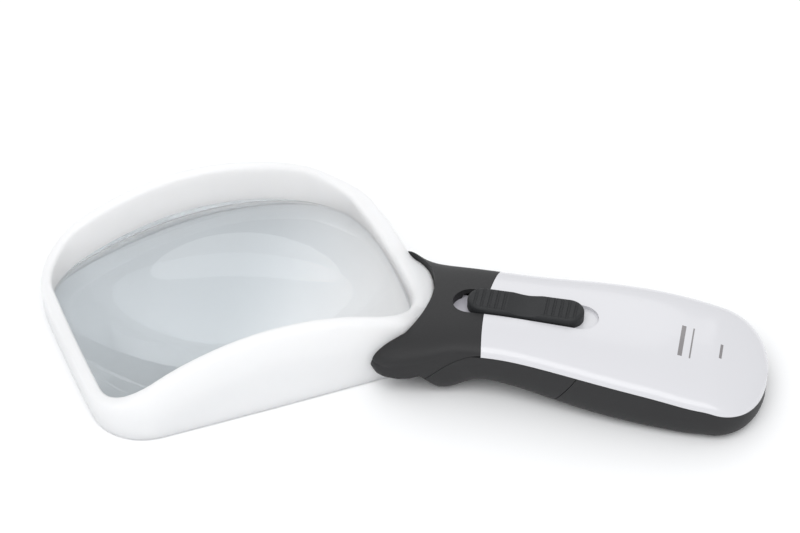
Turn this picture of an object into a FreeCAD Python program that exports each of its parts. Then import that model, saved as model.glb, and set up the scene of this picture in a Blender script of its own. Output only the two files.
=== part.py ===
import FreeCAD, Part
import math
import os

V = FreeCAD.Vector

# Illuminated hand magnifier.  Millimetres, +Z up, the flat rim of the lens frame
# and the heel of the grip stand on Z = 0.  +X runs along the grip towards its tail.
# While modelling, X = Y = 0 is the lens's optical axis; on export everything moves
# so that the origin is the centre of the footprint.

# ---- lens and lens frame ("head" directions: u along the lens, v across it) ----
LENS_LENGTH = 97.8
LENS_WIDTH = 72.2
LENS_TOP = 25.8          # crown of the lens above the table
LENS_FLAT = 3.0          # flat underside of the lens above the table
LENS_CURVE = 6.47e-3     # drop of the aspheric top, mm per mm squared
LENS_GAP = 0.15          # clearance between the lens edge and the frame
FRAME_WALL = 3.0
SILL_WALL = 5.8          # thicker end wall beside the neck
FRAME_LIP = 1.4          # ledge that carries the lens
OUTER_DRAFT = 3.0        # degrees, outward lean of the ring's outer wall
INNER_DRAFT = 2.2        # degrees, outward lean of the inner wall above the lens
DRAFT_START = 12.0       # height where the inner wall starts to lean
FRAME_CORNER = 16.0      # plan radius of the frame's outer corners
NECK_CORNER = 20.0       # plan radius of the lens's corner beside the neck
SIDE_RADIUS = 2400.0
LEFT_RADIUS = 900.0
RIGHT_RADIUS = 230.0
# rim height along the lens: (share of the outer half length, height)
RIM_WAVE = [(-1.3, 9.8), (-1.0, 10.3), (-0.8, 17.7), (-0.45, 26.3), (-0.05, 29.7), (0.35, 27.1),
            (0.7, 20.2), (0.88, 15.0), (1.0, 13.2), (1.4, 12.8)]
EDGE_ROUND = 0.8
RIM_ROUND = 1.1

# ---- claw line, where the neck collar meets the frame ----
GRIP_ANGLE = 33.3        # plan angle between the lens's long axis and the grip
CLAW_RADIUS = 31.0
CLAW_SETBACK = 2.4       # how far the claw line lies inside the frame's corner
CLAW_SIDE = 3.8
FIT_GAP = 0.12           # clearance between touching housings
SILL_FOOT = 12.6         # height of the sill beside the lens
SILL_SLOPE = 0.5

# ---- grip ----
SHELL_WALL = 1.6
COLLAR_JOINT = 1.6       # how far in front of the frame's corner the lower shell starts
NOTCH_Z = 6.2            # height of the notch between ear and finger rest
NOTCH_SLOPE = 40.0       # degrees, the notch is cut into the grip's lower edge at this slope
# outline of the notch: (from the frame's corner, height across the slope)
NOTCH_LINE = [(-16.5, -6.6), (-14.5, -7.9), (-11.5, -8.7), (-7.7, -8.83), (-4.4, -8.3),
              (-2.4, -7.5), (-1.5, -7.1), (-0.6, -7.5), (2.0, -8.9), (5.1, -10.2)]
NECK_LENGTH = 14.0       # frame corner to the front edge of the top cover
SEAM_BOW = 110.0         # plan radius of the cover's front edge
BATTERY_DIAMETER = 10.5
BATTERY_LENGTH = 44.5
BATTERY_COUNT = 3
BATTERY_GAP = 0.4
TRAY_SKIN = 1.0
BAY_CLEARANCE = 0.6
BAY_SETBACK = 37.0       # frame corner to the front end of the batteries
SPRING_LENGTH = 4.5
SPRING_WIRE = 0.5
SPRING_TURNS = 3
SPRING_BENDS = 8         # bends in each turn of the coil
SPRING_WIDE = 3.2        # coil radius at the contact plate
SPRING_NARROW = 2.2      # coil radius at the cell
CONTACT = 0.4            # contact plate thickness
TAIL_LENGTH = 15.5       # rear end of the batteries to the tail
BATTERY_TILT = 6.2       # degrees, nose of the grip up
BATTERY_LIFT = 5.35      # battery axis above the inside of the door at the rear end

# ---- switch ----
SLOT_START = 4.2         # frame corner to the slot's front end
SLIDER_LENGTH = 34.2
SLIDER_WIDTH = 9.4
SLIDER_FLOOR = 19.6      # height of the recess floor the slider runs on
SLIDER_HEIGHT = 3.4
SWITCH_TRAVEL = 3.0      # each way
SLOT_END_GAP = 1.3
SLOT_SIDE_GAP = 0.5
RUN_GAP = 0.15           # vertical running clearance of the switch
FLOOR_THICK = 1.45       # cover under the slider's recess
CARRIAGE_THICK = 1.2
LEG_LENGTH = 8.0
LEG_WIDTH = 4.0
SWITCH_BODY = (13.0, 6.0, 4.0)
LEVER = 2.2
SWITCH_SETBACK = 21.0    # frame corner to the middle of the slide switch

# ---- electronics ----
BOARD_Z = 10.4
BOARD_THICK = 1.0
BOARD_LENGTH = 18.5
BOARD_WIDTH = 21.0
BOARD_SETBACK = 12.2
LED_ALONG = 6.4
LED_ACROSS = 3.2
LED_U = 51.2             # place of the LED in the sill, along and across the lens
LED_V = -19.0
LED_BOARD_Z = 5.8
WIRE = 1.0
WIRE_GAP = 0.35

# ---- fasteners ----
SCREW = 2.0
SCREW_HEAD = 3.6
SCREW_GRIP = 0.3         # clearance round a screw in its boss
TONGUE_WIDTH = 18.0
TONGUE_Z = (8.8, 14.4)
TONGUE_REACH = 11.0

half_u = (LENS_LENGTH + 2 * LENS_GAP + FRAME_WALL + SILL_WALL) / 2
half_v = LENS_WIDTH / 2 + LENS_GAP + FRAME_WALL
phi = math.radians(GRIP_ANGLE)


def box(x0, x1, y0, y1, z0, z1):
    return Part.makeBox(x1 - x0, y1 - y0, z1 - z0, V(x0, y0, z0))


def rod(x, y, z0, z1, radius):
    return Part.makeCylinder(radius, z1 - z0, V(x, y, z0), V(0, 0, 1))


def stadium(x0, x1, width, z0, z1):
    """Upright prism with round ends, centred on the grip's axis."""
    r = width / 2
    straight = box(x0 + r, x1 - r, -r, r, z0, z1)
    return straight.fuse([rod(x0 + r, 0, z0, z1, r), rod(x1 - r, 0, z0, z1, r)]).removeSplitter()


def head_turn(shape):
    """Turn a shape made in head directions (u, v) into the grip's directions."""
    turned = shape.copy()
    turned.rotate(V(0, 0, 0), V(0, 0, 1), GRIP_ANGLE)
    return turned


def head_point(u, v, z=0.0):
    return V(u * math.cos(phi) - v * math.sin(phi), u * math.sin(phi) + v * math.cos(phi), z)


# ------------------------------------------------------------------ head outline
def corner_centre(c0, r0, c1, r1, quadrant):
    """Centre that is r0 from c0 and r1 from c1, in the named quadrant."""
    d = c1 - c0
    a = (r0 * r0 - r1 * r1 + d.Length ** 2) / (2 * d.Length)
    h = math.sqrt(r0 * r0 - a * a)
    d.normalize()
    middle = c0 + d * a
    across = V(-d.y, d.x, 0) * h
    return max([middle + across, middle - across], key=lambda p: p.dot(quadrant))


def head_outline(left, right, side, neck_corner=None):
    """Closed plan outline inset from the outer one by the given walls."""
    rings = {
        "left": (V(-half_u + LEFT_RADIUS, 0, 0), LEFT_RADIUS - left),
        "far": (V(0, half_v - SIDE_RADIUS, 0), SIDE_RADIUS - side),
        "right": (V(half_u - RIGHT_RADIUS, 0, 0), RIGHT_RADIUS - right),
        "near": (V(0, SIDE_RADIUS - half_v, 0), SIDE_RADIUS - side),
    }
    order = ["left", "far", "right", "near"]
    signs = [V(-1, 1, 0), V(1, 1, 0), V(1, -1, 0), V(-1, -1, 0)]
    corners = []
    for i, sign in enumerate(signs):
        c0, r0 = rings[order[i]]
        c1, r1 = rings[order[(i + 1) % 4]]
        r = FRAME_CORNER - side
        if neck_corner and i == 2:
            r = neck_corner
        k = corner_centre(c0, r0 - r, c1, r1 - r, sign)
        start = c0 + (k - c0).normalize() * r0
        end = c1 + (k - c1).normalize() * r1
        corners.append((k, r, start, end))
    edges = []
    for i in range(4):
        k, r, start, end = corners[i]
        middle = k + ((start + end) * 0.5 - k).normalize() * r
        edges.append(Part.Arc(start, middle, end).toShape())
        centre, radius = rings[order[(i + 1) % 4]]
        following = corners[(i + 1) % 4][2]
        middle = centre + ((end + following) * 0.5 - centre).normalize() * radius
        edges.append(Part.Arc(end, middle, following).toShape())
    return Part.Face(Part.Wire(edges))


def head_prism(left, right, side, z0, z1, neck_corner=None):
    face = head_outline(left, right, side, neck_corner)
    face.translate(V(0, 0, z0))
    return face.extrude(V(0, 0, z1 - z0))


def drafted(bottom, top, z0, z1):
    """Ring or plug whose outline opens evenly from bottom to top."""
    bottom.translate(V(0, 0, z0))
    top.translate(V(0, 0, z1))
    return Part.makeLoft([bottom.OuterWire, top.OuterWire], True, True)


def frame_outside(gap, z1):
    """Outside of the lens frame, grown by gap, leaning outwards by its draft."""
    lean = z1 * math.tan(math.radians(OUTER_DRAFT)) + gap
    return drafted(head_outline(-gap, -gap, -gap), head_outline(-lean, -lean, -lean), 0, z1)


def corner_reach():
    """Distance from the optical axis to the frame's corner, along the grip."""
    cu = half_u - FRAME_CORNER
    cv = half_v - FRAME_CORNER
    along = cu * math.cos(phi) + cv * math.sin(phi)
    across = cv * math.cos(phi) - cu * math.sin(phi)
    return along + math.sqrt(FRAME_CORNER ** 2 - across ** 2)


x0 = corner_reach()
claw_centre = V(x0 - CLAW_SETBACK - CLAW_RADIUS, CLAW_SIDE, 0)
seam_x = x0 + NECK_LENGTH
bay_x = x0 + BAY_SETBACK
bay_end = bay_x + BATTERY_LENGTH
tail_x = bay_end + TAIL_LENGTH
grip_length = tail_x - x0
bay_depth = BATTERY_DIAMETER + TRAY_SKIN + 2 * SHELL_WALL + BAY_CLEARANCE
bay_half = BATTERY_COUNT * BATTERY_DIAMETER / 2 + BATTERY_GAP + TRAY_SKIN + SHELL_WALL
slot_end = x0 + SLOT_START + SLIDER_LENGTH + 2 * (SWITCH_TRAVEL + SLOT_END_GAP)
slot_width = SLIDER_WIDTH + 2 * SLOT_SIDE_GAP
switch_x = x0 + SWITCH_SETBACK
carriage_top = SLIDER_FLOOR - FLOOR_THICK - RUN_GAP
carriage_half = slot_width / 2 + 0.6

# ------------------------------------------------------------------ grip skin
# Claw side, distances from the frame's corner: (x, far half width, near half width,
# seam height, underside, top)
CLAW_SECTIONS = [
    (-18.0, 29.8, 13.4, 9.6, 7.6, 11.8),
    (-15.8, 30.0, 18.7, 9.9, 5.8, 14.8),
    (-12.8, 29.4, 21.0, 10.2, 4.2, 16.8),
    (-8.8, 26.0, 21.8, 10.9, 3.2, 18.0),
    (-4.0, 22.9, 21.3, 12.2, 2.6, 19.2),
    (1.2, 20.9, 20.5, 14.0, 2.0, 20.3),
]
# Grip: (share of its length, half width and depth beyond the battery bay's,
# seam below the top, underside)
GRIP_SECTIONS = [
    (0.065, 0.55, 4.30, 5.2, 1.5),
    (0.135, 0.00, 1.00, 5.0, 5.2),
    (0.215, -0.10, 0.45, 4.9, 5.8),
    (0.320, 0.65, 1.70, 4.9, 4.2),
    (0.4535, 2.35, 3.15, 5.0, 2.2),
    (0.5875, 3.70, 3.45, 5.0, 0.9),
    (0.711, 4.25, 2.70, 5.0, 0.2),
    (0.809, 4.15, 1.15, 4.9, 0.0),
]
# Rounded tail behind the batteries: plan exponent of its outline, how far the
# seam and the sole move over its length, and how much the crown closes
TAIL_POWER = 2.2
TAIL_SEAM_DROP = 4.3
TAIL_SOLE_RISE = 4.0
TAIL_CLOSING = 0.93
TAIL_STEPS = [0.0, 0.2, 0.4, 0.58, 0.73, 0.85, 0.93, 0.975, 0.995]
# Where the tail starts: half width and depth beyond the bay's, crown, underside
TAIL_WIDE = 3.9
TAIL_DEEP = 0.55
TAIL_CROWN = 4.85
TAIL_LOW = 0.05


def tail_section(share, length):
    """One section of the tail's closing curve, at a share of its length."""
    wide = (bay_half + TAIL_WIDE) * (1 - share ** TAIL_POWER) ** (1 / TAIL_POWER)
    closing = math.sqrt(1 - (TAIL_CLOSING * share) ** 2)
    seam = TAIL_LOW + bay_depth + TAIL_DEEP - TAIL_CROWN - TAIL_SEAM_DROP * share
    sole = TAIL_LOW + TAIL_SOLE_RISE * (1 - closing)
    return (bay_end + length * share, wide, wide, seam, sole, seam + TAIL_CROWN * closing)


def skin_sections(inset=0.0):
    """(x, far, near, seam, underside, top) of each section all along the collar and grip."""
    rows = [(x0 + r[0],) + tuple(r[1:]) for r in CLAW_SECTIONS]
    for share, wide, deep, crown, low in GRIP_SECTIONS:
        top = low + bay_depth + deep
        rows.append((x0 + share * grip_length, bay_half + wide, bay_half + wide, top - crown, low, top))
    return rows + [tail_section(share, TAIL_LENGTH - inset) for share in TAIL_STEPS]


def skin_wire(x, far, near, seam, low, top, inset):
    """One closed section: two crown quarters, two bulging sides and a flat sole."""
    mid = (far - near) / 2
    h = (far + near) / 2 - inset
    low = low + inset
    top = top - inset
    crown = top - seam

    def curve(points):
        bezier = Part.BezierCurve()
        bezier.setPoles([V(x, mid + y, z) for y, z in points])
        return bezier.toShape()

    far_top = curve([(0, top), (0.55 * h, top), (h, seam + 0.75 * crown), (h, seam)])
    bulge = seam - 0.4 * (seam - low)
    far_side = curve([(h, seam), (1.06 * h, bulge), (1.04 * h, low), (0.76 * h, low)])
    sole = Part.makeLine(V(x, mid + 0.76 * h, low), V(x, mid - 0.76 * h, low))
    near_side = curve([(-0.76 * h, low), (-1.04 * h, low), (-1.06 * h, bulge), (-h, seam)])
    near_top = curve([(-h, seam), (-h, seam + 0.75 * crown), (-0.55 * h, top), (0, top)])
    return Part.Wire([far_top, far_side, sole, near_side, near_top])


def skin_solid(inset, first, last):
    """Loft of the sections; first and last trim the list for the hollow."""
    rows = skin_sections(inset)[first:last]
    wires = [skin_wire(*row, inset) for row in rows]
    return Part.makeLoft(wires, True, False)


def seam_height(x):
    """Seam height by straight lines between the sections."""
    rows = [r for r in skin_sections() if r[0] >= x0]
    for a, b in zip(rows, rows[1:]):
        if x <= b[0]:
            return a[3] + (b[3] - a[3]) * (x - a[0]) / (b[0] - a[0])
    return rows[-1][3]


def above_seam(lift):
    """Everything above the seam between cover and black shells, moved up by lift."""
    rows = [r for r in skin_sections() if r[0] > seam_x - 8]
    points = [V(r[0], 0, r[3] + lift) for r in rows]
    start = points[0] + V(-30, 0, 0)
    last = points[-1] + V(20, 0, -5.0)
    curve = Part.BSplineCurve()
    curve.interpolate(points)
    top_z = 60.0
    edges = [
        Part.makeLine(start, points[0]),
        curve.toShape(),
        Part.makeLine(points[-1], last),
        Part.makeLine(last, V(last.x, 0, top_z)),
        Part.makeLine(V(last.x, 0, top_z), V(start.x, 0, top_z)),
        Part.makeLine(V(start.x, 0, top_z), start),
    ]
    face = Part.Face(Part.Wire(edges))
    face.translate(V(0, -60, 0))
    return face.extrude(V(0, 120, 0))


def behind_seam(gap):
    """Everything behind the cover's bowed front edge."""
    bow = rod(seam_x + gap + SEAM_BOW, 0, -5, 60, SEAM_BOW)
    return bow.fuse(box(seam_x + SEAM_BOW, tail_x + 30, -60, 60, -5, 60))


def prism_xz(points):
    """Plate of a closed outline in X and Z, right across the grip."""
    face = Part.Face(Part.makePolygon([V(x, -60, z) for x, z in points + points[:1]]))
    return face.extrude(V(0, 120, 0))


def below_collar(gap):
    """Side of the collar's slanting lower joint that belongs to the lower shell."""
    front = x0 - COLLAR_JOINT + gap
    top = seam_height(seam_x) + 0.6
    rise = top - NOTCH_Z
    run = seam_x + 3.0 - front
    arch = [V(front + run * s, -60, NOTCH_Z - gap + rise * math.sin(s * math.pi / 2))
            for s in (0, 0.15, 0.3, 0.45, 0.6, 0.75, 0.9, 1)]
    curve = Part.BSplineCurve()
    curve.interpolate(arch)
    rest = Part.makePolygon([arch[-1], V(tail_x + 20, -60, arch[-1].z), V(tail_x + 20, -60, -5),
                             V(front, -60, -5), arch[0]])
    face = Part.Face(Part.Wire([curve.toShape()] + rest.Edges))
    return face.extrude(V(0, 120, 0))


def grip_notch():
    """Sloping cut under the grip's near edge that parts the ear from the finger rest."""
    slope = math.radians(NOTCH_SLOPE)
    across = V(0, math.sin(slope), math.cos(slope))
    away = V(0, math.cos(slope), -math.sin(slope))
    line = [(NOTCH_LINE[0][0], -40)] + NOTCH_LINE + [(NOTCH_LINE[-1][0], -40)]
    points = [V(x0 + x, 0, 0) + across * rise for x, rise in line]
    face = Part.Face(Part.makePolygon(points + points[:1]))
    face.translate(away * -80)
    return face.extrude(away * 80)


def behind_door_joint(gap):
    """Side of the slanting joint that belongs to the battery door."""
    return prism_xz([
        (bay_x - 0.6 + gap, -5), (bay_x + 0.3 + gap, 4.6), (bay_x + 8.0 + gap, 17.5),
        (bay_x + 8.0 + gap, 30), (tail_x + 20, 30), (tail_x + 20, -5),
    ])


def claw_prism(offset):
    return rod(claw_centre.x, claw_centre.y, -5, 60, CLAW_RADIUS + offset)


skin = skin_solid(0.0, 0, None).cut(grip_notch())
hollow_start = len(CLAW_SECTIONS)
hollow = skin_solid(SHELL_WALL, hollow_start, -1)


# ------------------------------------------------------------------ head parts
def above_rim():
    """Space above the waved rim, in head directions."""
    points = [V(s * half_u, 0, z) for s, z in RIM_WAVE]
    curve = Part.BSplineCurve()
    curve.interpolate(points)
    edges = [
        curve.toShape(),
        Part.makeLine(points[-1], V(points[-1].x, 0, 60)),
        Part.makeLine(V(points[-1].x, 0, 60), V(points[0].x, 0, 60)),
        Part.makeLine(V(points[0].x, 0, 60), points[0]),
    ]
    face = Part.Face(Part.Wire(edges))
    face.translate(V(0, -80, 0))
    return face.extrude(V(0, 160, 0))


def lens_solid(gap, z0, z1):
    return head_prism(FRAME_WALL + LENS_GAP - gap, SILL_WALL + LENS_GAP - gap,
                      FRAME_WALL + LENS_GAP - gap, z0, z1, NECK_CORNER + gap)


def lens_well(gap):
    """The opening above the lens's ledge, straight beside the lens and leaning above it."""
    lean = gap + (40 - DRAFT_START) * math.tan(math.radians(INNER_DRAFT))
    wall = FRAME_WALL + LENS_GAP
    sill = SILL_WALL + LENS_GAP
    low = head_outline(wall - gap, sill - gap, wall - gap, NECK_CORNER + gap)
    high = head_outline(wall - lean, sill - lean, wall - lean, NECK_CORNER + lean)
    straight = lens_solid(gap, LENS_FLAT - 0.02, DRAFT_START)
    return straight.fuse(drafted(low, high, DRAFT_START, 40)).removeSplitter()


def make_lens():
    """Plano-convex aspheric lens: a turned dome cut to the frame's opening."""
    reach = math.sqrt((LENS_TOP - LENS_FLAT) / LENS_CURVE)
    radii = [share * reach for share in (0, 0.25, 0.5, 0.75, 1)]
    crown = [V(r, 0, LENS_TOP - LENS_CURVE * r * r) for r in radii]
    curve = Part.BSplineCurve()
    curve.interpolate(crown)
    profile = Part.Wire([
        Part.makeLine(V(0, 0, LENS_FLAT), V(0, 0, LENS_TOP)),
        curve.toShape(),
        Part.makeLine(crown[-1], V(0, 0, LENS_FLAT)),
    ])
    dome = Part.Face(profile).revolve(V(0, 0, 0), V(0, 0, 1), 360)
    return head_turn(lens_solid(0, LENS_FLAT, LENS_TOP + 1).common(dome))


def led_frame(shape):
    """Place a shape modelled at u = v = 0 at the LED's seat in the sill."""
    moved = shape.copy()
    moved.translate(V(LED_U, LED_V, 0))
    return head_turn(moved)


def led_box(across, along, z0, z1):
    return led_frame(box(-across / 2, across / 2, -along / 2, along / 2, z0, z1))


def tube(points, diameter):
    """Round wire through the points, with tangent arcs as large as the runs allow."""
    edges = []
    begin = points[0]
    for a, b, c in zip(points, points[1:], points[2:]):
        before = a - b
        after = c - b
        half_turn = (math.pi - before.getAngle(after)) / 2
        cut = 0.45 * min(before.Length, after.Length)
        radius = cut / math.tan(half_turn)
        before.normalize()
        after.normalize()
        start = b + before * cut
        end = b + after * cut
        bisector = (before + after).normalize()
        centre = b + bisector * (radius / math.cos(half_turn))
        middle = centre - bisector * radius
        edges.append(Part.makeLine(begin, start))
        edges.append(Part.Arc(start, middle, end).toShape())
        begin = end
    edges.append(Part.makeLine(begin, points[-1]))
    path = Part.Wire(edges)
    first = points[1] - points[0]
    ring = Part.Wire(Part.makeCircle(diameter / 2, points[0], first))
    return path.makePipeShell([ring], True, True)


def led_route(side):
    """Route of one LED lead, from the LED board through the tongue to the main board."""
    seat = head_point(LED_U, LED_V)
    shift = 0.75 * side
    return [
        V(seat.x + shift, seat.y + shift, LED_BOARD_Z + 0.85),
        V(seat.x + shift + 0.2, seat.y + shift - 0.4, 9.6),
        V(x0 - 0.5 + shift, 3.0 + shift, 11.2),
        V(x0 + TONGUE_REACH - 1.0, 1.4 * shift, 12.2),
        V(x0 + BOARD_SETBACK + 1.3, 1.6 * shift, BOARD_Z + BOARD_THICK + WIRE / 2 + 0.05),
    ]


def frame_tongue():
    half = TONGUE_WIDTH / 2
    block = box(x0 - 6, x0 + TONGUE_REACH, -half, half, *TONGUE_Z)
    block = block.common(claw_prism(0).fuse(box(x0 - 4, x0 + 40, -60, 60, -5, 60)))
    opening = head_turn(lens_solid(LENS_GAP + 0.6, -5, 60))
    return block.cut(opening)


def on_rim(edge):
    """True for the edges of the waved top face, not for the upright ones."""
    ends = (edge.tangentAt(edge.FirstParameter), edge.tangentAt(edge.LastParameter))
    return min(abs(end.z) for end in ends) <= 0.98


def frame_screw_places():
    return [(x0 + 7.0, -6.4), (x0 + 7.0, 6.4)]


def make_frame():
    """Deep one-piece lens frame with a waved rim, a lens ledge and the grip's tongue."""
    outer = frame_outside(0, 40)
    sole = [e for e in outer.Edges if e.BoundBox.ZMax < 0.01]
    outer = outer.makeFillet(EDGE_ROUND, sole)
    ring = outer.cut(lens_well(LENS_GAP)).cut(lens_solid(-FRAME_LIP, -5, LENS_FLAT + 1))
    ring = ring.cut(above_rim())
    rim = [e for e in ring.Edges if e.BoundBox.ZMin > LENS_FLAT + 2 and on_rim(e)]
    ring = ring.makeFillet(RIM_ROUND, rim)
    outer = head_turn(ring)
    keep = claw_prism(0).fuse(box(-200, x0 - 12, -200, 200, -5, 60))
    outer = outer.common(keep)
    # the sill swells outwards on the far side of the neck, up to the claw line
    swell = claw_prism(0).common(box(x0 - 15.4, x0, 2, 60, 0, 40))
    wedge = prism_xz([(x0 - 20, 0), (x0 + 2, 0), (x0 + 2, SILL_FOOT + SILL_SLOPE * 14), (x0 - 12, SILL_FOOT),
                      (x0 - 20, SILL_FOOT)])
    body = outer.fuse(swell.common(wedge)).fuse(frame_tongue())
    body = body.cut(head_turn(lens_solid(LENS_GAP, LENS_FLAT - 0.02, 60)))
    body = body.cut(head_turn(lens_solid(-FRAME_LIP, -5, LENS_FLAT + 1)))
    # pocket for the LED in the underside of the sill, and the lead's channel
    body = body.cut(led_box(LED_ACROSS, LED_ALONG, -1, LED_BOARD_Z + 2.6))
    for side in (-1, 1):
        body = body.cut(tube(led_route(side), WIRE + 2 * WIRE_GAP))
    for x, y in frame_screw_places():
        body = body.cut(rod(x, y, TONGUE_Z[0] - 1, TONGUE_Z[1] - 0.8, SCREW / 2 + 0.02))
    return body.removeSplitter()


def make_led_parts():
    """LED board, the LED on it, its reflector tub and the clear prism below."""
    board = led_box(LED_ACROSS - 0.2, LED_ALONG - 0.2, LED_BOARD_Z, LED_BOARD_Z + 0.8)
    package = led_box(2.4, 3.2, LED_BOARD_Z - 0.7, LED_BOARD_Z)
    tub = led_box(LED_ACROSS - 0.1, LED_ALONG - 0.1, 3.4, LED_BOARD_Z)
    funnel = led_box(2.5, 3.3, 3.0, LED_BOARD_Z + 1)
    block = led_box(LED_ACROSS - 0.1, LED_ALONG - 0.1, 0.5, 3.4)
    slant = prism_xz([(-3, -3), (-3, 1.9), (3, 0.3), (3, -3)])
    block = block.cut(led_frame(slant))
    return {"led_board": board, "led_emitter": package, "led_reflector": tub.cut(funnel), "led_prism": block}


# ------------------------------------------------------------------ grip housings
def tongue_space():
    half = TONGUE_WIDTH / 2 + FIT_GAP
    return box(x0 - 9, x0 + TONGUE_REACH + 0.6, -half, half, TONGUE_Z[0] - FIT_GAP, TONGUE_Z[1] + FIT_GAP)


def head_space():
    """The frame's outside, with the fit gap, where the collar wraps round it."""
    foot = head_prism(-FIT_GAP, -FIT_GAP, -FIT_GAP, -5, 0)
    plain = head_turn(foot.fuse(frame_outside(FIT_GAP, 60)))
    cut_back = claw_prism(FIT_GAP).fuse(box(-200, x0 - 12 + FIT_GAP, -200, 200, -6, 61))
    swell = claw_prism(FIT_GAP).common(box(x0 - 15.4, x0 + 5, 2, 60, -5, 60))
    return plain.common(cut_back).fuse(swell)


def make_collar():
    """Soft-feel neck collar: a horn on the far side, an ear wrapped round the near side."""
    body = skin.cut(behind_seam(0)).cut(below_collar(0))
    body = body.cut(head_space())
    body = body.cut(hollow)
    body = body.cut(tongue_space())
    body = body.cut(stadium(x0 + SLOT_START, slot_end, slot_width, carriage_top - 0.5, 60))
    front = carriage_front() - SWITCH_TRAVEL - 0.2
    pocket = stadium(front, seam_x + 12, 2 * carriage_half + 0.4, 15.0, carriage_top + RUN_GAP)
    body = body.cut(pocket)
    for side in (-1, 1):
        body = body.cut(tube(led_route(side), WIRE + 2 * WIRE_GAP))
    return largest(body)


def largest(shape):
    return max(shape.Solids, key=lambda s: s.Volume)


def cover_screw_places():
    return [(x0 + 25.5, 14.2), (x0 + 25.5, -14.2)]


def tray_screw_places():
    return [(bay_end + 5.0, 7.0), (bay_end + 5.0, -7.0)]


def tray_flange_z():
    return battery_axis_z(bay_end + 5.0)


def battery_axis_z(x):
    rear = TAIL_LOW + SHELL_WALL + BATTERY_LIFT
    return rear + (bay_end - x) * math.tan(math.radians(BATTERY_TILT))


def switch_floor(gap):
    """Floor and walls of the switch's recess under the cover, grown by gap."""
    half = slot_width / 2 + 1.2 + gap
    return box(seam_x - 30, slot_end + 1.5 + gap, -half, half, SLIDER_FLOOR - FLOOR_THICK - gap, 60)


def make_cover():
    """White top cover: crowned shell with the switch's recess, a leg slot and two bosses."""
    body = skin.common(above_seam(0)).common(behind_seam(FIT_GAP))
    body = body.cut(hollow.cut(switch_floor(0)))
    body = body.cut(stadium(x0 + SLOT_START, slot_end, slot_width, SLIDER_FLOOR, 60))
    leg_reach = LEG_LENGTH / 2 + SWITCH_TRAVEL + 0.4
    body = body.cut(box(seam_x - 2, switch_x + leg_reach, -LEG_WIDTH / 2 - 0.3, LEG_WIDTH / 2 + 0.3, 0, 60))
    for x, y in cover_screw_places():
        boss = rod(x, y, 12.1, 40, 2.4).common(hollow)
        body = body.fuse(boss).cut(rod(x, y, 11, 17.0, SCREW / 2 + 0.02))
    for x, y in tray_screw_places():
        boss = rod(x, y, tray_flange_z() + 1.3, 40, 2.2).common(hollow)
        body = body.fuse(boss).cut(rod(x, y, 2, tray_flange_z() + 3.6, SCREW / 2 + 0.02))
    return largest(body)


def make_lower_shell():
    """Black lower shell: finger stop, board posts and screw pillars."""
    body = skin.common(below_collar(FIT_GAP)).cut(above_seam(-FIT_GAP)).cut(behind_door_joint(-FIT_GAP))
    body = body.cut(hollow).cut(head_space()).cut(tongue_space())
    for x, y in frame_screw_places() + cover_screw_places():
        top = TONGUE_Z[0] - FIT_GAP if (x, y) in frame_screw_places() else 12.0
        body = body.fuse(rod(x, y, 0, top, 2.9).common(hollow).cut(tongue_space()))
        body = body.cut(rod(x, y, -5, 30, SCREW / 2 + SCREW_GRIP))
        body = body.cut(rod(x, y, -5, screw_seat(x), SCREW_HEAD / 2 + SCREW_GRIP))
    for x, y in board_posts():
        body = body.fuse(rod(x, y, 0, BOARD_Z, 1.7).common(hollow))
        body = body.cut(rod(x, y, BOARD_Z - 1.6, BOARD_Z + 1, 0.8))
    return largest(body)


def screw_seat(x):
    """Height of the screw heads' seats above the table."""
    return 6.6 if x < x0 + 10 else 9.4


def board_posts():
    a = x0 + BOARD_SETBACK + 2.0
    b = x0 + BOARD_SETBACK + BOARD_LENGTH - 2.2
    return [(a, 8.6), (a, -8.6), (b, -8.6)]


def make_door():
    """Battery door: the black tub round the tail, slid off backwards and down."""
    body = skin.common(behind_door_joint(FIT_GAP)).cut(above_seam(-FIT_GAP)).cut(hollow)
    for i in range(5):
        x = bay_x + 9 + 2.4 * i
        body = body.cut(box(x, x + 1.2, -9, 9, -1, skin_low(x) + 0.5))
    return largest(body)


def skin_low(x):
    rows = skin_sections()
    for a, b in zip(rows, rows[1:]):
        if x <= b[0]:
            return a[4] + (b[4] - a[4]) * (x - a[0]) / (b[0] - a[0])
    return rows[-1][4]


# ------------------------------------------------------------------ batteries
def bay_place(shape):
    """Place a shape modelled with the battery axis on X, its rear end at X = 0."""
    placed = shape.copy()
    placed.rotate(V(0, 0, 0), V(0, 1, 0), BATTERY_TILT)
    placed.translate(V(bay_end, 0, battery_axis_z(bay_end)))
    return placed


def battery_rows():
    pitch = BATTERY_DIAMETER + BATTERY_GAP
    return [(i - (BATTERY_COUNT - 1) / 2) * pitch for i in range(BATTERY_COUNT)]


def along_x(x, y, z, length, radius):
    return Part.makeCylinder(radius, length, V(x, y, z), V(1, 0, 0))


def make_battery(y, flip):
    """One micro (AAA) cell with its positive button and recessed negative end."""
    r = BATTERY_DIAMETER / 2
    can = along_x(-BATTERY_LENGTH + 0.2, y, 0, BATTERY_LENGTH - 1.0, r)
    can = can.makeFillet(0.5, can.Edges[:1] + can.Edges[2:])
    button = along_x(-0.9, y, 0, 0.9, 1.9)
    foot = along_x(-BATTERY_LENGTH, y, 0, 0.4, 3.4)
    cell = can.fuse([button, foot])
    if flip:
        cell.rotate(V(-BATTERY_LENGTH / 2, y, 0), V(0, 0, 1), 180)
    return bay_place(cell)


def tray_front():
    return -BATTERY_LENGTH - SPRING_LENGTH - CONTACT


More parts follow.
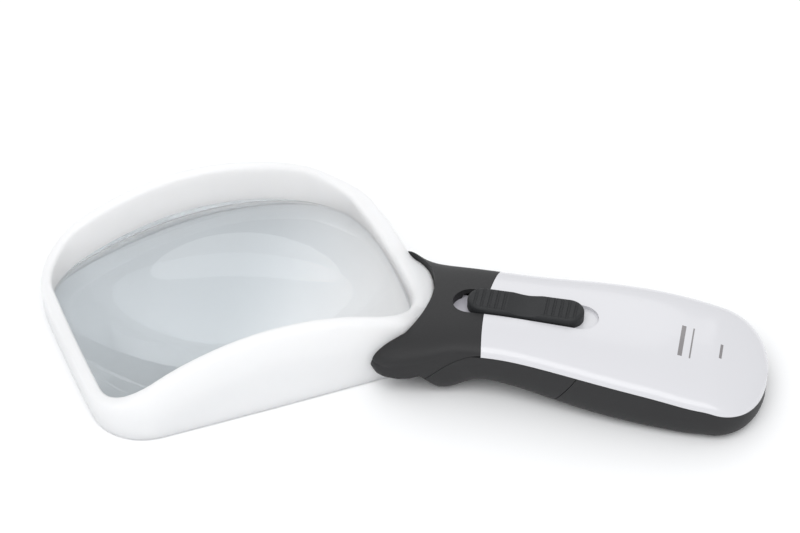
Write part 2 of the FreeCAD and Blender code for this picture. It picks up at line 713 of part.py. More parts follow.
def make_tray():
    """Battery tray: three open troughs with end walls and a rear screw flange."""
    r = BATTERY_DIAMETER / 2 + BATTERY_GAP / 2
    start = tray_front() - 1.0
    length = -start + CONTACT + 1.0
    body = None
    for y in battery_rows():
        trough = along_x(start, y, 0, length, r + TRAY_SKIN)
        body = trough if body is None else body.fuse(trough)
    body = body.cut(box(start - 1, 5, -40, 40, -20, -0.5))
    for y in battery_rows():
        body = body.cut(along_x(start + 1.0, y, 0, length - 2.0, r))
        body = body.cut(box(start + 1.0, start + length - 1.0, y - r, y + r, -2, 0))
    half = bay_half - SHELL_WALL
    floor_z = -BATTERY_DIAMETER / 2 + 0.6
    for x in (start, start + length - 1.0):
        body = body.fuse(box(x, x + 1.0, -half, half, floor_z, 3.4))
    flange = box(start + length - 1.0, start + length + 6.4, -10.5, 10.5, -1.0, 0.4)
    body = body.fuse(flange)
    body = bay_place(body.removeSplitter())
    for x, y in tray_screw_places():
        body = body.cut(rod(x, y, 0, 30, SCREW / 2 + SCREW_GRIP))
        body = body.fuse(rod(x, y, tray_flange_z() - 0.9, tray_flange_z() + 1.2, 2.2))
        body = body.cut(rod(x, y, 0, 30, SCREW / 2 + SCREW_GRIP))
        body = body.cut(rod(x, y, 0, tray_flange_z() - 0.9, SCREW_HEAD / 2 + SCREW_GRIP))
    # the front wall keeps clear of the switch and of the cover's skin
    room = skin_solid(SHELL_WALL + 0.25, hollow_start, -1).cut(switch_floor(0.25))
    return largest(body.common(room))


def make_spring(y):
    """Conical contact spring between the front plate and a cell, bent from round wire."""
    front = -BATTERY_LENGTH - SPRING_LENGTH + SPRING_WIRE / 2 + 0.1
    length = SPRING_LENGTH - SPRING_WIRE - 0.2
    bends = SPRING_TURNS * SPRING_BENDS
    points = []
    for i in range(bends + 1):
        share = i / bends
        turn = 2 * math.pi * i / SPRING_BENDS
        radius = SPRING_WIDE + (SPRING_NARROW - SPRING_WIDE) * share
        points.append(V(front + length * share, y + radius * math.cos(turn), radius * math.sin(turn)))
    return bay_place(tube(points, SPRING_WIRE))


def contact_plates():
    """Front plates (one per spring) and rear plates (one bridge, one single)."""
    rows = battery_rows()
    x_front = tray_front()
    half = 0.34 * BATTERY_DIAMETER
    front = [box(x_front, x_front + CONTACT, y - half, y + half, -half, half) for y in rows]
    rear = [box(0, CONTACT, y - half, y + half, -half, half) for y in rows]
    bridge = box(0, CONTACT, rows[0], rows[1], -half, -0.8)
    joined = rear[0].fuse([bridge, rear[1]]).removeSplitter()
    return bay_place(Part.makeCompound(front)), bay_place(Part.makeCompound([joined] + rear[2:]))


# ------------------------------------------------------------------ switch
def make_slider():
    """Black slide button: two ribbed pads with a saddle between, on a leg."""
    start = x0 + SLOT_START + SWITCH_TRAVEL + SLOT_END_GAP
    end = start + SLIDER_LENGTH
    base_z = SLIDER_FLOOR + RUN_GAP
    top_z = base_z + SLIDER_HEIGHT
    body = stadium(start, end, SLIDER_WIDTH, base_z, top_z)
    rim = [e for e in body.Edges if e.BoundBox.ZMin > top_z - 0.01]
    body = body.makeFillet(1.1, rim)
    middle = (start + end) / 2
    body = body.cut(Part.makeCylinder(13.0, 30, V(middle, -15, top_z + 11.9), V(0, 1, 0)))
    for side in (-1, 1):
        for i in range(5):
            x = middle + side * (6.2 + 2.1 * i)
            body = body.cut(Part.makeCylinder(0.5, 30, V(x, -15, top_z + 0.2), V(0, 1, 0)))
    leg = box(switch_x - LEG_LENGTH / 2, switch_x + LEG_LENGTH / 2, -LEG_WIDTH / 2, LEG_WIDTH / 2,
              carriage_top, base_z + 0.5)
    return body.fuse(leg).removeSplitter()


def carriage_front():
    return x0 + SLOT_START - SWITCH_TRAVEL - 0.1


def make_carriage():
    """Pale plate under the cover that closes the slot and drives the switch lever."""
    rear = switch_x + LEG_LENGTH / 2 + 2.5
    z0 = carriage_top - CARRIAGE_THICK
    plate = stadium(carriage_front(), rear, 2 * carriage_half, z0, carriage_top)
    fork = LEVER / 2 + 0.05
    return plate.cut(box(switch_x - fork, switch_x + fork, -fork, fork, z0 - 1, carriage_top - 0.2))


def switch_top():
    return BOARD_Z + BOARD_THICK + SWITCH_BODY[2]


def make_switch_body():
    """Slide switch on the board, with a groove for its lever and three leads."""
    length, width, height = SWITCH_BODY
    z0 = BOARD_Z + BOARD_THICK
    body = box(switch_x - length / 2, switch_x + length / 2, -width / 2, width / 2, z0, z0 + height)
    groove = LEVER + 2 * SWITCH_TRAVEL + 0.6
    return body.cut(box(switch_x - groove / 2, switch_x + groove / 2, -LEVER / 2 - 0.05, LEVER / 2 + 0.05,
                        z0 + height - 1.6, z0 + height + 1))


def make_switch_lever():
    z0 = switch_top() - 1.5
    return box(switch_x - LEVER / 2, switch_x + LEVER / 2, -LEVER / 2, LEVER / 2, z0, carriage_top - 0.3)


# ------------------------------------------------------------------ electronics
def make_board():
    front = x0 + BOARD_SETBACK
    half = BOARD_WIDTH / 2
    board = box(front, front + BOARD_LENGTH, -half, half, BOARD_Z, BOARD_Z + BOARD_THICK)
    for x, y in board_posts():
        board = board.cut(rod(x, y, 0, 30, 1.0))
    for x, y in cover_screw_places():
        board = board.cut(rod(x, y, 0, 30, 3.2))
    return board


def make_components():
    """Driver chip, choke and two ceramic capacitors on the main board."""
    z0 = BOARD_Z + BOARD_THICK
    xb = x0 + BOARD_SETBACK
    chip = box(xb + 5.0, xb + 9.0, 5.0, 9.0, z0, z0 + 1.2)
    choke = rod(xb + 12.2, -7.0, z0, z0 + 2.6, 2.6)
    choke = choke.makeFillet(0.4, choke.Edges[:1])
    caps = Part.makeCompound([
        box(xb + 10.4, xb + 12.4, 5.0, 6.3, z0, z0 + 1.0),
        box(xb + 10.4, xb + 12.4, 7.4, 8.7, z0, z0 + 1.0),
    ])
    return {"driver_chip": chip, "choke": choke, "capacitors": caps}


def battery_route(side):
    """Route of one battery lead, from a front contact plate's tab to the main board."""
    y = side * 8.2
    z_axis = battery_axis_z(bay_x - SPRING_LENGTH)
    board_end = x0 + BOARD_SETBACK + BOARD_LENGTH
    return [
        V(bay_x - SPRING_LENGTH - CONTACT - 1.6, y, z_axis + 0.4),
        V(bay_x - SPRING_LENGTH - CONTACT - 2.0, y * 0.86, z_axis - 0.6),
        V(board_end - 1.2, y * 0.62, BOARD_Z + BOARD_THICK + WIRE / 2 + 0.5),
    ]


# ------------------------------------------------------------------ fasteners
def screw(x, y, seat_z, tip_z):
    """Pan-head self-tapping screw, driven from below, with a cross recess."""
    head = rod(x, y, seat_z - 1.3, seat_z, SCREW_HEAD / 2)
    head = head.makeFillet(0.5, [e for e in head.Edges if e.BoundBox.ZMax < seat_z - 1.2])
    shank = rod(x, y, seat_z - 0.1, tip_z, SCREW / 2)
    body = head.fuse(shank)
    for wide, deep in ((2.0, 0.5), (0.5, 2.0)):
        body = body.cut(box(x - wide / 2, x + wide / 2, y - deep / 2, y + deep / 2, seat_z - 2, seat_z - 0.7))
    return body


def make_screws():
    board_head = BOARD_Z + BOARD_THICK
    frame = [screw(x, y, screw_seat(x), TONGUE_Z[1] - 1.2) for x, y in frame_screw_places()]
    cover = [screw(x, y, screw_seat(x), 16.6) for x, y in cover_screw_places()]
    tray = [screw(x, y, tray_flange_z() - 0.9, tray_flange_z() + 3.2) for x, y in tray_screw_places()]
    board = []
    for x, y in board_posts():
        pan = rod(x, y, board_head, board_head + 0.9, 1.5)
        pan = pan.cut(box(x - 1.0, x + 1.0, y - 0.2, y + 0.2, board_head + 0.4, board_head + 2))
        board.append(pan.fuse(rod(x, y, BOARD_Z - 1.5, board_head + 0.1, 0.78)))
    return {
        "frame_screws": Part.makeCompound(frame),
        "cover_screws": Part.makeCompound(cover),
        "tray_screws": Part.makeCompound(tray),
        "board_screws": Part.makeCompound(board),
    }


# ------------------------------------------------------------------ assembly
def make_all():
    nodes = {
        "magnifying_lens": make_lens(),
        "lens_frame": make_frame(),
        "neck_collar": make_collar(),
        "top_cover": make_cover(),
        "lower_shell": make_lower_shell(),
        "battery_door": make_door(),
        "battery_tray": make_tray(),
        "switch_slider": make_slider(),
        "switch_carriage": make_carriage(),
        "slide_switch_body": make_switch_body(),
        "slide_switch_lever": make_switch_lever(),
        "main_board": make_board(),
    }
    nodes.update(make_led_parts())
    nodes.update(make_components())
    nodes.update(make_screws())
    for i, y in enumerate(battery_rows()):
        nodes["battery_%d" % (i + 1)] = make_battery(y, i % 2 == 1)
        nodes["battery_spring_%d" % (i + 1)] = make_spring(y)
    nodes["contacts_front"], nodes["contacts_rear"] = contact_plates()
    for name, side in (("positive", 1), ("negative", -1)):
        nodes["led_lead_" + name] = tube(led_route(side), WIRE)
        nodes["battery_lead_" + name] = tube(battery_route(side), WIRE)
    return nodes


def footprint_centre(nodes):
    whole = Part.makeCompound([nodes[n] for n in ("lens_frame", "battery_door", "neck_collar", "top_cover")])
    b = whole.optimalBoundingBox()
    return V((b.XMin + b.XMax) / 2, (b.YMin + b.YMax) / 2, 0)


nodes = make_all()
centre = footprint_centre(nodes)
os.makedirs("parts", exist_ok=True)
print("optical axis at", round(-centre.x, 3), round(-centre.y, 3))
for name, shape in nodes.items():
    shape.translate(centre * -1)
    b = shape.optimalBoundingBox()
    print(name.ljust(20), "valid" if shape.isValid() else "INVALID", "solids", len(shape.Solids),
          "vol %.1f" % shape.Volume,
          "box %.1f..%.1f %.1f..%.1f %.1f..%.1f" % (b.XMin, b.XMax, b.YMin, b.YMax, b.ZMin, b.ZMax))
    shape.exportStep("parts/%s.step" % name)
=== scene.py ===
import bpy
import math
from mathutils import Matrix, Vector


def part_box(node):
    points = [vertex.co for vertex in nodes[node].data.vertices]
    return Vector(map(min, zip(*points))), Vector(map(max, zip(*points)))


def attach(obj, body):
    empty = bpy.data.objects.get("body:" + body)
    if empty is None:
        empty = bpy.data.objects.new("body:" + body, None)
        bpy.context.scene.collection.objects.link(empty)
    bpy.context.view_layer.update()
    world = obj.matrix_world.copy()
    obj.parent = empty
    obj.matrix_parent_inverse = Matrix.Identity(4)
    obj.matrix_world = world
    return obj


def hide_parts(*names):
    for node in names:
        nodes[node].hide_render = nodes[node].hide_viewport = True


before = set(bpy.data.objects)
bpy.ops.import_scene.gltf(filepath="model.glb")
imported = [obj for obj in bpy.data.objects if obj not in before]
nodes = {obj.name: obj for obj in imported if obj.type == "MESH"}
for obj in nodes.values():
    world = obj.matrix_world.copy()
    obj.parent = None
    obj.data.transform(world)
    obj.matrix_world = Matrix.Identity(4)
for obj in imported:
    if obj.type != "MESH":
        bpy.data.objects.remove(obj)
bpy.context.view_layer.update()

MM = 0.001
bpy.ops.object.select_all(action="DESELECT")


# ---------------------------------------------------------------------------
# Camera. It looks along the grip and down into the deep lens frame, with the
# lens's optical axis as its reference, as the magnifier lies on a table.
OPTICAL_AXIS = Vector((-48.356, 0.238, 0)) * MM
AZIMUTH = math.radians(10.48)
ELEVATION = math.radians(40.22)
ROLL = math.radians(0.86)
DISTANCE = 793.5 * MM
ASIDE = 47.888 * MM          # eye beside and above the line to the optical axis
RAISED = 16.931 * MM
FOCAL_LENGTH = 119.3         # the camera's own units
SENSOR_WIDTH = 36

back = Vector((
    math.sin(AZIMUTH) * math.cos(ELEVATION),
    -math.cos(AZIMUTH) * math.cos(ELEVATION),
    math.sin(ELEVATION),
))
level = Vector((math.cos(AZIMUTH), math.sin(AZIMUTH), 0))
over = back.cross(level)
right = level * math.cos(ROLL) + over * math.sin(ROLL)
up = over * math.cos(ROLL) - level * math.sin(ROLL)
eye = OPTICAL_AXIS + back * DISTANCE + right * ASIDE + up * RAISED

bpy.ops.object.camera_add(location=eye)
camera = bpy.context.object
camera.name = "camera"
camera.rotation_mode = "QUATERNION"
camera.rotation_quaternion = Matrix((right, up, back)).transposed().to_quaternion()
camera.data.lens = FOCAL_LENGTH
camera.data.sensor_width = SENSOR_WIDTH
camera.data.clip_start = 0.01
bpy.context.scene.camera = camera
bpy.context.scene.view_settings.view_transform = "Standard"


# ---------------------------------------------------------------------------
# Table and studio. A pale table with no edge in sight, a broad soft box above
# the near side that draws the bright line along the grip's shoulder, a weak one
# behind, and an even white surround.
TABLE_SIZE = 6               # metres
TABLE_GAP = 0.05 * MM        # keeps the table's plane clear of the faces that stand on it
bpy.ops.mesh.primitive_plane_add(size=TABLE_SIZE, location=(0, 0, -TABLE_GAP))
table = bpy.context.object
table.name = "table"
table_paint = bpy.data.materials.new("table_paint")
table_paint.use_nodes = True
table_shader = table_paint.node_tree.nodes["Principled BSDF"]
table_shader.inputs["Base Color"].default_value = (0.97, 0.975, 0.98, 1)
table_shader.inputs["Roughness"].default_value = 0.95
table_shader.inputs["Specular IOR Level"].default_value = 0.1
table.data.materials.append(table_paint)

surround = bpy.data.worlds.new("surround")
bpy.context.scene.world = surround
surround.use_nodes = True
surround_light = surround.node_tree.nodes["Background"]
surround_light.inputs["Color"].default_value = (0.985, 0.99, 1, 1)
surround_light.inputs["Strength"].default_value = 0.77


def soft_box(name, place, aim, wide, high, power):
    """An elliptical soft light at place, facing aim; sizes in metres, power in watts."""
    bpy.ops.object.light_add(type="AREA", location=place)
    lamp = bpy.context.object
    lamp.name = name
    lamp.data.shape = "ELLIPSE"
    lamp.data.size = wide
    lamp.data.size_y = high
    lamp.data.energy = power
    lamp.rotation_mode = "QUATERNION"
    lamp.rotation_quaternion = (Vector(aim) - Vector(place)).to_track_quat("-Z", "Y")


soft_box("shoulder_box", (0.08, -0.62, 1.00), (0.02, 0, 0), 1.7, 0.80, 6.4)
soft_box("back_box", (-0.25, 0.95, 0.75), (-0.04, 0, 0.01), 1.3, 0.7, 1.6)


# ---------------------------------------------------------------------------
# Lens frame. One deep injection-moulded ring of milky white plastic, whose rim
# rises in a wave along both long sides; it ends in a lobe held by the collar,
# and a tongue inside the grip carries it.
def moulded_grain_tree():
    """Fine moulded grain in gloss and relief over slow clouds of tint, for every surface here."""
    tree = bpy.data.node_groups.new("moulded_grain", "ShaderNodeTree")
    for name, kind, value in (
        ("Tint", "NodeSocketColor", (1, 1, 1, 1)),
        ("Shade", "NodeSocketColor", (0.9, 0.9, 0.9, 1)),
        ("Cloud Size", "NodeSocketFloat", 60),
        ("Grain Size", "NodeSocketFloat", 1500),
        ("Dull", "NodeSocketFloat", 0.4),
        ("Spread", "NodeSocketFloat", 0.1),
    ):
        socket = tree.interface.new_socket(name, in_out="INPUT", socket_type=kind)
        socket.default_value = value
    tree.interface.new_socket("Colour", in_out="OUTPUT", socket_type="NodeSocketColor")
    tree.interface.new_socket("Roughness", in_out="OUTPUT", socket_type="NodeSocketFloat")
    tree.interface.new_socket("Height", in_out="OUTPUT", socket_type="NodeSocketFloat")
    given = tree.nodes.new("NodeGroupInput")
    out = tree.nodes.new("NodeGroupOutput")
    where = tree.nodes.new("ShaderNodeTexCoord")
    grain = tree.nodes.new("ShaderNodeTexNoise")
    grain.inputs["Detail"].default_value = 3
    cloud = tree.nodes.new("ShaderNodeTexNoise")
    cloud.inputs["Detail"].default_value = 5
    cloud.inputs["Roughness"].default_value = 0.6
    mix = tree.nodes.new("ShaderNodeMix")
    mix.data_type = "RGBA"
    dull = tree.nodes.new("ShaderNodeMath")
    dull.operation = "MULTIPLY_ADD"
    link = tree.links.new
    link(where.outputs["Object"], grain.inputs["Vector"])
    link(where.outputs["Object"], cloud.inputs["Vector"])
    link(given.outputs["Grain Size"], grain.inputs["Scale"])
    link(given.outputs["Cloud Size"], cloud.inputs["Scale"])
    link(cloud.outputs["Fac"], mix.inputs["Factor"])
    link(given.outputs["Shade"], mix.inputs["A"])
    link(given.outputs["Tint"], mix.inputs["B"])
    link(mix.outputs["Result"], out.inputs["Colour"])
    link(grain.outputs["Fac"], dull.inputs[0])
    link(given.outputs["Spread"], dull.inputs[1])
    link(given.outputs["Dull"], dull.inputs[2])
    link(dull.outputs["Value"], out.inputs["Roughness"])
    link(grain.outputs["Fac"], out.inputs["Height"])
    return tree


moulded_grain = moulded_grain_tree()


def finish(name, tint, shade, dull, spread, grain_size, relief, cloud_size=60):
    """A surface finish: its colour range, gloss and spread, grain and depth of grain."""
    paint = bpy.data.materials.new(name)
    paint.use_nodes = True
    tree = paint.node_tree
    group = tree.nodes.new("ShaderNodeGroup")
    group.name = "grain"
    group.node_tree = moulded_grain
    group.inputs["Tint"].default_value = (*tint, 1)
    group.inputs["Shade"].default_value = (*shade, 1)
    group.inputs["Cloud Size"].default_value = cloud_size
    group.inputs["Grain Size"].default_value = grain_size
    group.inputs["Dull"].default_value = dull
    group.inputs["Spread"].default_value = spread
    bump = tree.nodes.new("ShaderNodeBump")
    bump.name = "relief"
    bump.inputs["Strength"].default_value = relief
    bump.inputs["Distance"].default_value = 0.1 * MM
    shader = tree.nodes["Principled BSDF"]
    tree.links.new(group.outputs["Colour"], shader.inputs["Base Color"])
    tree.links.new(group.outputs["Roughness"], shader.inputs["Roughness"])
    tree.links.new(group.outputs["Height"], bump.inputs["Height"])
    tree.links.new(bump.outputs["Normal"], shader.inputs["Normal"])
    return paint


def dress(paint, *names):
    """Give CAD nodes their finish."""
    for name in names:
        mesh = nodes[name].data
        mesh.materials.clear()
        mesh.materials.append(paint)


milky_white = finish("milky_white_plastic", (0.90, 0.90, 0.905), (0.865, 0.865, 0.87), 0.34, 0.14, 1400, 0.10)
milky_shader = milky_white.node_tree.nodes["Principled BSDF"]
milky_shader.inputs["Subsurface Weight"].default_value = 0.8
milky_shader.inputs["Subsurface Radius"].default_value = (1.0, 0.97, 0.94)
milky_shader.inputs["Subsurface Scale"].default_value = 12 * MM
dress(milky_white, "lens_frame")


def apply_modifier(piece, kind, **settings):
    """Add one modifier with its settings and apply it."""
    step = piece.modifiers.new(kind.lower(), kind)
    for name, value in settings.items():
        setattr(step, name, value)
    bpy.context.view_layer.objects.active = piece
    bpy.ops.object.modifier_apply(modifier=step.name)


# The moulding is a copy of the frame's body with its edges softened all over and
# the lobe beside the neck blended into the ring.
FRAME_VOXEL = 0.55 * MM
MERGE_DISTANCE = 0.002 * MM
LOBE_REACH = 6 * MM          # the blend starts this far in front of the collar
LOBE_FOOT = 7 * MM           # nothing is blended below this height
LOBE_FOOT_FADE = 3 * MM

frame_body = nodes["lens_frame"].copy()
frame_body.data = nodes["lens_frame"].data.copy()
frame_body.name = "frame_moulding"
frame_body.parent = None
for key in list(frame_body.keys()):      # what marks the copied CAD node is dropped
    del frame_body[key]
bpy.context.scene.collection.objects.link(frame_body)
bpy.context.view_layer.objects.active = frame_body
frame_body.select_set(True)
bpy.ops.object.mode_set(mode="EDIT")
bpy.ops.mesh.select_all(action="SELECT")
bpy.ops.mesh.remove_doubles(threshold=MERGE_DISTANCE)
bpy.ops.object.mode_set(mode="OBJECT")
apply_modifier(frame_body, "REMESH", mode="VOXEL", voxel_size=FRAME_VOXEL, adaptivity=0.0)

lobe = frame_body.vertex_groups.new(name="lobe")
lobe_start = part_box("neck_collar")[0][0] - LOBE_REACH
for vertex in frame_body.data.vertices:
    inward = (vertex.co.x - lobe_start) / LOBE_REACH
    upward = (vertex.co.z - LOBE_FOOT) / LOBE_FOOT_FADE
    weight = min(max(min(inward, upward), 0), 1)
    lobe.add([vertex.index], weight, "REPLACE")
apply_modifier(frame_body, "SMOOTH", factor=0.5, iterations=6)
apply_modifier(frame_body, "SMOOTH", factor=0.6, iterations=28, vertex_group="lobe")
bpy.ops.object.shade_smooth()
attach(frame_body, "magnifier")
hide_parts("lens_frame")
frame_body.select_set(False)


# ---------------------------------------------------------------------------
# Magnifying lens. A polished clear acrylic asphere with a hard coat, bonded on
# the frame's ledge with its crowned side up. Its colour is painted paler toward
# the neck, and its two ends get a painted glow, most of all beside the neck.
coated_acrylic = bpy.data.materials.new("coated_acrylic")
coated_acrylic.use_nodes = True
tree = coated_acrylic.node_tree
lens_shader = tree.nodes["Principled BSDF"]
lens_shader.inputs["Transmission Weight"].default_value = 1
lens_shader.inputs["IOR"].default_value = 1.49
lens_shader.inputs["Coat Weight"].default_value = 0.3
lens_shader.inputs["Coat Roughness"].default_value = 0.02
hard_coat = tree.nodes.new("ShaderNodeGroup")
hard_coat.node_tree = moulded_grain
hard_coat.inputs["Tint"].default_value = (0.895, 0.925, 0.945, 1)
hard_coat.inputs["Shade"].default_value = (0.865, 0.905, 0.928, 1)
hard_coat.inputs["Cloud Size"].default_value = 18
hard_coat.inputs["Grain Size"].default_value = 400
hard_coat.inputs["Dull"].default_value = 0.0
hard_coat.inputs["Spread"].default_value = 0.02
where = tree.nodes.new("ShaderNodeTexCoord")
split = tree.nodes.new("ShaderNodeSeparateXYZ")
# Painted light: the lens's colour is mixed toward white toward the neck, a painted brightening where the lens
# lies in the frame's shade.
painted_pale_toward_neck = tree.nodes.new("ShaderNodeMapRange")
painted_pale_toward_neck.interpolation_type = "SMOOTHSTEP"
painted_pale_toward_neck.inputs["From Min"].default_value = OPTICAL_AXIS.x
painted_pale_toward_neck.inputs["From Max"].default_value = 0.0
painted_pale_mix = tree.nodes.new("ShaderNodeMix")
painted_pale_mix.data_type = "RGBA"
painted_pale_mix.inputs["B"].default_value = (1, 1, 1, 1)
# Painted glow: emission along the lens, bright at both ends and most beside the neck, standing in for light
# that does not reach there.
painted_glow_span = tree.nodes.new("ShaderNodeMapRange")
painted_glow_span.inputs["From Min"].default_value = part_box("magnifying_lens")[0][0]
painted_glow_span.inputs["From Max"].default_value = 0.0
painted_end_glow = tree.nodes.new("ShaderNodeValToRGB")
painted_end_glow.color_ramp.interpolation = "EASE"
painted_end_glow.color_ramp.elements[0].color = (0.50, 0.53, 0.55, 1)
painted_end_glow.color_ramp.elements[1].color = (0.98, 0.99, 1, 1)
for place, level in ((0.32, 0.14), (0.52, 0.0), (0.76, 0.55)):
    painted_end_glow.color_ramp.elements.new(place).color = (level, level, level, 1)
# Strength of the painted glow.
lens_shader.inputs["Emission Strength"].default_value = 0.07
tree.links.new(where.outputs["Object"], split.inputs["Vector"])
tree.links.new(split.outputs["X"], painted_pale_toward_neck.inputs["Value"])
tree.links.new(painted_pale_toward_neck.outputs["Result"], painted_pale_mix.inputs["Factor"])
tree.links.new(hard_coat.outputs["Colour"], painted_pale_mix.inputs["A"])
tree.links.new(painted_pale_mix.outputs["Result"], lens_shader.inputs["Base Color"])
tree.links.new(split.outputs["X"], painted_glow_span.inputs["Value"])
tree.links.new(painted_glow_span.outputs["Result"], painted_end_glow.inputs["Fac"])
tree.links.new(painted_end_glow.outputs["Color"], lens_shader.inputs["Emission Color"])
tree.links.new(hard_coat.outputs["Roughness"], lens_shader.inputs["Roughness"])
dress(coated_acrylic, "magnifying_lens")


# ---------------------------------------------------------------------------
# LED unit in the thick sill: a small circuit board, the LED with its yellow
# phosphor, a white reflector tub and a clear prism that throws light under
# the lens. It is pushed into its pocket from below.
solder_mask = finish("green_solder_mask", (0.03, 0.20, 0.08), (0.02, 0.13, 0.05), 0.28, 0.1, 900, 0.1, 900)
tree = solder_mask.node_tree
tracks = tree.nodes.new("ShaderNodeTexBrick")
tracks.inputs["Scale"].default_value = 260
tracks.inputs["Mortar Size"].default_value = 0.03
tracks.inputs["Color1"].default_value = (0.025, 0.17, 0.07, 1)
tracks.inputs["Color2"].default_value = (0.03, 0.21, 0.085, 1)
tracks.inputs["Mortar"].default_value = (0.08, 0.34, 0.14, 1)
track_place = tree.nodes.new("ShaderNodeTexCoord")
tree.links.new(track_place.outputs["Object"], tracks.inputs["Vector"])
tree.links.new(tracks.outputs["Color"], tree.nodes["Principled BSDF"].inputs["Base Color"])
phosphor = finish("led_phosphor", (0.90, 0.76, 0.22), (0.80, 0.62, 0.12), 0.25, 0.1, 2500, 0.2, 1500)
reflector_white = finish("reflector_white", (0.90, 0.90, 0.88), (0.84, 0.84, 0.82), 0.22, 0.1, 1500, 0.05)
# A copy of the lens's material, so it carries the same painted paleness and painted glow by position.
prism_acrylic = coated_acrylic.copy()
prism_acrylic.name = "prism_acrylic"
dress(solder_mask, "led_board", "main_board")
dress(phosphor, "led_emitter")
dress(reflector_white, "led_reflector")
dress(prism_acrylic, "led_prism")


# ---------------------------------------------------------------------------
# Black soft-feel housings: the neck collar with its horn and ear, the lower
# shell with the finger rest, and the battery door. Moulded plastic with a fine
# matt texture.
soft_black = finish("soft_feel_black", (0.023, 0.023, 0.024), (0.018, 0.018, 0.019),
                    0.46, 0.16, 2200, 0.30, 45)
soft_black.node_tree.nodes["Principled BSDF"].inputs["Specular IOR Level"].default_value = 0.36
dress(soft_black, "neck_collar", "lower_shell", "battery_door")


# ---------------------------------------------------------------------------
# White top cover. Moulded plastic with a pale lacquer; near the tail it has a
# plain printed mark of three grey bars.
lacquer = finish("pale_lacquer", (0.685, 0.685, 0.712), (0.67, 0.67, 0.697), 0.22, 0.04, 1800, 0.008, 40)
tree = lacquer.node_tree
lacquer_shader = tree.nodes["Principled BSDF"]
lacquer_shader.inputs["Coat Weight"].default_value = 0.6
lacquer_shader.inputs["Coat Roughness"].default_value = 0.12


def printed_bar_tree():
    """Mask of one printed rectangle, at a place on the cover, in metres."""
    group = bpy.data.node_groups.new("printed_bar", "ShaderNodeTree")
    for name in ("X", "Y", "Half Length", "Half Width"):
        group.interface.new_socket(name, in_out="INPUT", socket_type="NodeSocketFloat")
    group.interface.new_socket("Mask", in_out="OUTPUT", socket_type="NodeSocketFloat")
    given = group.nodes.new("NodeGroupInput")
    out = group.nodes.new("NodeGroupOutput")
    where = group.nodes.new("ShaderNodeTexCoord")
    split = group.nodes.new("ShaderNodeSeparateXYZ")
    group.links.new(where.outputs["Object"], split.inputs["Vector"])
    inside = []
    for axis, centre, half in (("X", "X", "Half Width"), ("Y", "Y", "Half Length")):
        away = group.nodes.new("ShaderNodeMath")
        away.operation = "SUBTRACT"
        size = group.nodes.new("ShaderNodeMath")
        size.operation = "ABSOLUTE"
        near = group.nodes.new("ShaderNodeMath")
        near.operation = "LESS_THAN"
        group.links.new(split.outputs[axis], away.inputs[0])
        group.links.new(given.outputs[centre], away.inputs[1])
        group.links.new(away.outputs["Value"], size.inputs[0])
        group.links.new(size.outputs["Value"], near.inputs[0])
        group.links.new(given.outputs[half], near.inputs[1])
        inside.append(near)
    both = group.nodes.new("ShaderNodeMath")
    both.operation = "MULTIPLY"
    group.links.new(inside[0].outputs["Value"], both.inputs[0])
    group.links.new(inside[1].outputs["Value"], both.inputs[1])
    group.links.new(both.outputs["Value"], out.inputs["Mask"])
    return group


# printed bars: distance from the tail, length across the grip and width, in millimetres
BARS = [(25.5, 13.0, 1.3), (22.6, 13.0, 0.45), (14.0, 6.0, 0.8)]
MARK_Y = -0.5 * MM
printed_bar = printed_bar_tree()
tail_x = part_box("top_cover")[1][0]
ink = tree.nodes["grain"].outputs["Colour"]
for from_tail, length, width in BARS:
    bar = tree.nodes.new("ShaderNodeGroup")
    bar.node_tree = printed_bar
    bar.inputs["X"].default_value = tail_x - from_tail * MM
    bar.inputs["Y"].default_value = MARK_Y
    bar.inputs["Half Length"].default_value = length / 2 * MM
    bar.inputs["Half Width"].default_value = width / 2 * MM
    layer = tree.nodes.new("ShaderNodeMix")
    layer.data_type = "RGBA"
    layer.inputs["B"].default_value = (0.22, 0.21, 0.215, 1)
    tree.links.new(bar.outputs["Mask"], layer.inputs["Factor"])
    tree.links.new(ink, layer.inputs["A"])
    ink = layer.outputs["Result"]
tree.links.new(ink, lacquer_shader.inputs["Base Color"])
dress(lacquer, "top_cover")


# ---------------------------------------------------------------------------
# Slide switch. A black ribbed button on a leg, a pale nylon carriage that shuts
# the slot below it, and the metal-cased slide switch with its black lever.
ribbed_black = finish("ribbed_black", (0.024, 0.025, 0.027), (0.016, 0.017, 0.018),
                      0.48, 0.2, 2600, 0.35, 300)
ribbed_black.node_tree.nodes["Principled BSDF"].inputs["Specular IOR Level"].default_value = 0.34
pale_nylon = finish("pale_nylon", (0.56, 0.55, 0.60), (0.49, 0.48, 0.53), 0.36, 0.1, 1500, 0.1)
tinned_steel = finish("tinned_steel", (0.66, 0.66, 0.65), (0.50, 0.50, 0.49), 0.24, 0.2, 1200, 0.1, 500)
tinned_steel.node_tree.nodes["Principled BSDF"].inputs["Metallic"].default_value = 1
moulding_black = finish("epoxy_black", (0.035, 0.035, 0.035), (0.02, 0.02, 0.02), 0.5, 0.15, 2500, 0.4, 600)
dress(ribbed_black, "switch_slider")
dress(pale_nylon, "switch_carriage")
dress(tinned_steel, "slide_switch_body")
dress(moulding_black, "slide_switch_lever", "driver_chip")


# ---------------------------------------------------------------------------
# Driver parts soldered on the main board: a ferrite choke and two ceramic
# capacitors beside the driver chip.
ferrite = finish("ferrite_grey", (0.10, 0.095, 0.095), (0.06, 0.055, 0.055), 0.42, 0.2, 1800, 0.5, 700)
ceramic = finish("ceramic_tan", (0.46, 0.34, 0.20), (0.38, 0.27, 0.15), 0.4, 0.15, 2500, 0.3, 900)
dress(ferrite, "choke")
dress(ceramic, "capacitors")


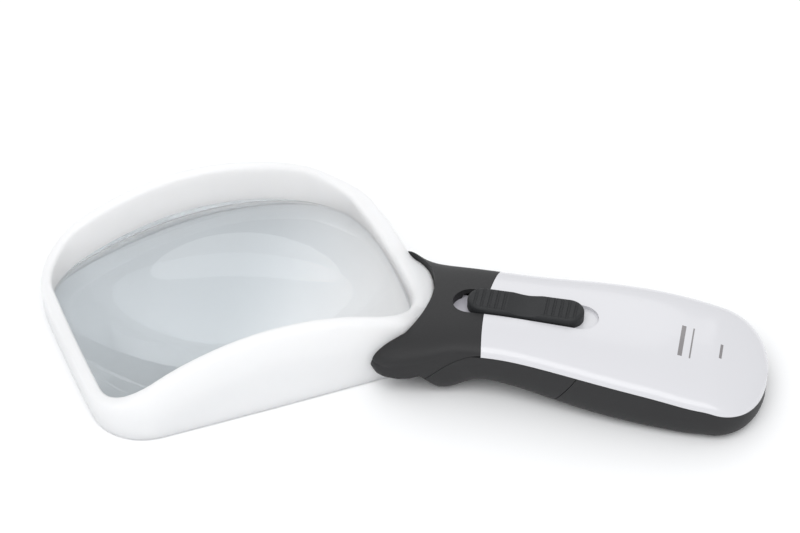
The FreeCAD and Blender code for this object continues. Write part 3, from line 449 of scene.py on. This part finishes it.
# ---------------------------------------------------------------------------
# Battery bay. A grey moulded tray, three micro cells in plain printed sleeves,
# conical springs and bent strip contacts of nickel-plated steel.
tray_grey = finish("tray_grey", (0.30, 0.31, 0.32), (0.25, 0.26, 0.27), 0.48, 0.14, 1500, 0.25)
sleeve = finish("battery_sleeve", (0.10, 0.19, 0.38), (0.07, 0.14, 0.30), 0.2, 0.12, 900, 0.08, 200)
tree = sleeve.node_tree
band = tree.nodes.new("ShaderNodeTexWave")
band.wave_type = "BANDS"
band.bands_direction = "X"
band.inputs["Scale"].default_value = 11
band.inputs["Distortion"].default_value = 0.0
band_place = tree.nodes.new("ShaderNodeTexCoord")
band_edge = tree.nodes.new("ShaderNodeMath")
band_edge.operation = "GREATER_THAN"
band_edge.inputs[1].default_value = 0.8
band_mix = tree.nodes.new("ShaderNodeMix")
band_mix.data_type = "RGBA"
band_mix.inputs["B"].default_value = (0.60, 0.61, 0.62, 1)
tree.links.new(band_place.outputs["Object"], band.inputs["Vector"])
tree.links.new(band.outputs["Fac"], band_edge.inputs[0])
tree.links.new(band_edge.outputs["Value"], band_mix.inputs["Factor"])
tree.links.new(tree.nodes["grain"].outputs["Colour"], band_mix.inputs["A"])
tree.links.new(band_mix.outputs["Result"], tree.nodes["Principled BSDF"].inputs["Base Color"])
nickel = finish("nickel_plate", (0.72, 0.70, 0.66), (0.58, 0.56, 0.52), 0.2, 0.2, 1500, 0.1, 600)
nickel.node_tree.nodes["Principled BSDF"].inputs["Metallic"].default_value = 1
dress(tray_grey, "battery_tray")
dress(sleeve, "battery_1", "battery_2", "battery_3")
dress(nickel, "battery_spring_1", "battery_spring_2", "battery_spring_3", "contacts_front", "contacts_rear")


# ---------------------------------------------------------------------------
# Leads. Two thin insulated wires from the LED to the board and two from the
# battery contacts, red for the positive side and black for the negative.
red_lead = finish("red_insulation", (0.45, 0.025, 0.02), (0.34, 0.015, 0.012), 0.4, 0.1, 2000, 0.15, 300)
black_lead = finish("black_insulation", (0.025, 0.025, 0.026), (0.015, 0.015, 0.016),
                    0.4, 0.1, 2000, 0.15, 300)
dress(red_lead, "led_lead_positive", "battery_lead_positive")
dress(black_lead, "led_lead_negative", "battery_lead_negative")


# ---------------------------------------------------------------------------
# Screws. Zinc-plated self-tapping pan heads with a cross recess, driven from
# below into the frame's tongue, the cover's bosses and the board's posts.
zinc = finish("zinc_plate", (0.62, 0.62, 0.63), (0.45, 0.45, 0.46), 0.28, 0.2, 1600, 0.2, 800)
zinc.node_tree.nodes["Principled BSDF"].inputs["Metallic"].default_value = 1
dress(zinc, "frame_screws", "cover_screws", "tray_screws", "board_screws")
